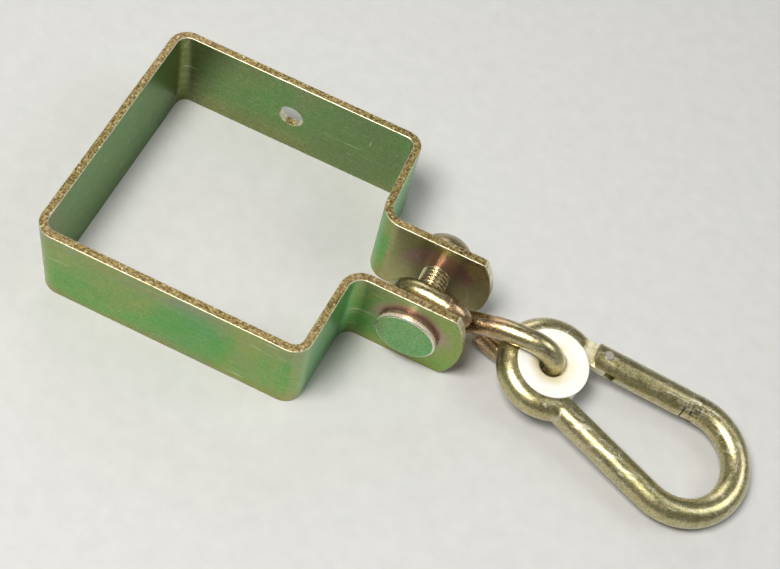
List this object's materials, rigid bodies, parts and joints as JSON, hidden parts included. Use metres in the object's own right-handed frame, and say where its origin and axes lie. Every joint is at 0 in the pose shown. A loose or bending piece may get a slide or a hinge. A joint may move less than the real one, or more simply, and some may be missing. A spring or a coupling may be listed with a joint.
{
  "type": "timber suspension bracket with snap hook",
  "caption": "Steel strap bracket that wraps a square beam, with a pivoting S link and a bushed-eye snap hook with a sprung gate for hanging loads.",
  "frame": {"origin": "middle of the inner face of the strap's back wall, where the beam bears, at mid-width of the strip", "axes": "+X from the back wall through the beam opening to the hook, +Y across the strap towards the cap nut, +Z along the strip's width (up when the assembly lies on a table)"},
  "size_m": [0.2448, 0.098, 0.035],
  "materials": {
    "strap_zinc": "yellow passivated zinc, satin with iridescent tints",
    "bolt_zinc": "yellow passivated zinc, satin",
    "link_zinc": "yellow passivated zinc, coppery satin",
    "hook_zinc": "yellow passivated zinc, satin",
    "rivet_steel": "plated steel, semi-bright",
    "spring_wire": "drawn spring wire",
    "bush_nylon": "moulded white nylon, smooth"
  },
  "bodies": {
    "bracket": {"bracket_strap": "strap_zinc"},
    "pivot": {"pivot_bolt": "bolt_zinc", "cap_nut": "bolt_zinc"},
    "link": {"s_link": "link_zinc"},
    "thimble": {"eye_thimble": "bush_nylon"},
    "hook": {"hook_body": "hook_zinc"},
    "gate": {"hook_gate": "hook_zinc", "gate_rivet": "rivet_steel", "gate_spring": "spring_wire"},
    "plunger": {"gate_plunger": "rivet_steel"}
  },
  "joints": [
    {"name": "link_swing", "type": "hinge", "parent": "bracket", "child": "pivot", "pos_m": [0.117, 0, 0], "axis": [0, 1, 0], "range_deg": [-96, 84]},
    {"name": "link_side_play", "type": "slide", "parent": "pivot", "child": "link", "axis": [0, 1, 0], "range_m": [-0.0018, 0.0035]},
    {"name": "thimble_rock", "type": "hinge", "parent": "link", "child": "thimble", "pos_m": [0.154, 0, -0.0045], "axis": [0, 1, 0], "range_deg": [-7, 2]},
    {"name": "hook_turn", "type": "hinge", "parent": "thimble", "child": "hook", "pos_m": [0.165, -0.0007, -0.0053], "axis": [0.0915, -0.0452, 0.9948], "range_deg": [-100, 100]},
    {"name": "gate_hinge", "type": "hinge", "parent": "hook", "child": "gate", "pos_m": [0.18133, 0.01205, -0.00622], "axis": [-0.0915, 0.0452, -0.9948], "range_deg": [0, 28], "stiffness_Nm_per_rad": 0.03, "springref_deg": -28.65},
    {"name": "plunger_slide", "type": "slide", "parent": "gate", "child": "plunger", "axis": [0.9958, 0.0042, -0.0914], "range_m": [0, 0.00085], "deforming": ["gate_spring"]}
  ],
  "couplings": [
    {"joint": "plunger_slide", "follows": "gate_hinge", "m_per_rad": 0.0017}
  ]
}
